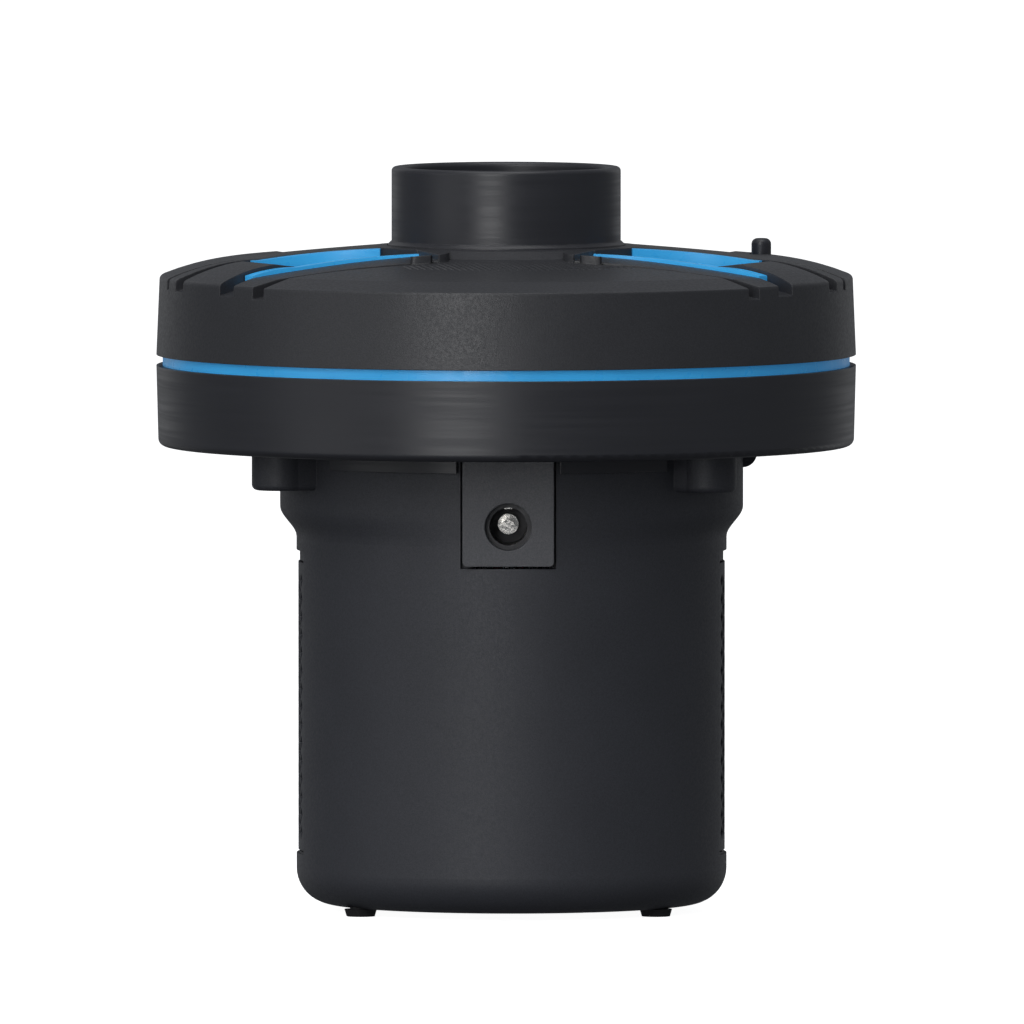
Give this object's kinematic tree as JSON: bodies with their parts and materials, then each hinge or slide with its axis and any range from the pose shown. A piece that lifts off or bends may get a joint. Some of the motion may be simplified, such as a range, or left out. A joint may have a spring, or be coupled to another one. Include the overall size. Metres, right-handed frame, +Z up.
{
  "type": "electric air pump",
  "caption": "Electric air pump for inflatables: a round fan head with a top air outlet on a cylindrical grip that holds motor, cells and charging socket.",
  "frame": {"origin": "centre of the fan head's axis on the surface that the feet stand on", "axes": "+Z up along the fan's axis to the outlet, -Y towards the charging socket, +X to the right when the socket faces the viewer"},
  "size_m": [0.1166, 0.1166, 0.1241],
  "materials": {
    "black_plastic": "fine spark-eroded grain",
    "satin_plastic": "satin moulded",
    "blue_plastic": "satin moulded",
    "inner_plastic": "as moulded",
    "white_plastic": "as moulded",
    "rubber": "matt",
    "steel": "zinc plated",
    "nickel": "nickel plated",
    "brass": "turned",
    "copper": "enamelled wire",
    "magnet": "sintered ferrite",
    "cell_wrap": "shrink sleeve",
    "board": "solder mask",
    "red_lead": "insulated wire"
  },
  "bodies": {
    "housing": {"grip_body": "black_plastic", "left_grip_panel": "black_plastic", "right_grip_panel": "black_plastic", "jack_plate": "black_plastic", "top_cover": "black_plastic", "fan_housing": "satin_plastic", "outlet_nozzle": "satin_plastic", "outlet_guard": "satin_plastic", "trim_ring": "blue_plastic", "dc_jack": "inner_plastic", "jack_pin": "nickel", "jack_spring": "nickel", "housing_gasket": "rubber", "motor_can": "steel", "motor_end_cap": "white_plastic", "upper_bush": "brass", "lower_bush": "brass", "motor_magnets": "magnet", "motor_brushes": "magnet", "motor_terminals": "brass", "motor_screws": "steel", "motor_mount": "inner_plastic", "return_vanes": "inner_plastic", "cell_tray": "inner_plastic", "cell_links": "nickel", "cell_clamp": "inner_plastic", "circuit_board": "board", "board_components": "inner_plastic", "switch_housing": "inner_plastic", "motor_leads": "red_lead", "jack_leads": "red_lead", "battery_leads": "red_lead", "switch_lead": "red_lead", "grip_screws": "steel", "cover_screws": "steel", "rubber_foot_1": "rubber", "battery_cell_1": "cell_wrap", "rubber_foot_2": "rubber", "battery_cell_2": "cell_wrap", "rubber_foot_3": "rubber", "battery_cell_3": "cell_wrap", "rubber_foot_4": "rubber", "battery_cell_4": "cell_wrap", "long_inlay_left_front": "blue_plastic", "long_inlay_right_front": "blue_plastic", "long_inlay_left_back": "blue_plastic", "long_inlay_right_back": "blue_plastic", "short_inlay_left_front": "blue_plastic", "short_inlay_right_front": "blue_plastic", "short_inlay_left_back": "blue_plastic", "short_inlay_right_back": "blue_plastic"},
    "rotor": {"motor_shaft": "steel", "armature_core": "steel", "armature_windings": "copper", "commutator": "copper", "impeller": "white_plastic", "impeller_insert": "brass", "shaft_clip": "steel"},
    "switch_slider": {"switch_knob": "satin_plastic"}
  },
  "joints": [
    {"name": "rotor_spin", "type": "hinge", "parent": "housing", "child": "rotor", "pos_m": [0, 0, 0.09], "axis": [0, 0, 1], "continuous": true},
    {"name": "switch_slide", "type": "slide", "parent": "housing", "child": "switch_slider", "axis": [0, 1, 0], "range_m": [0, 0.004]}
  ]
}
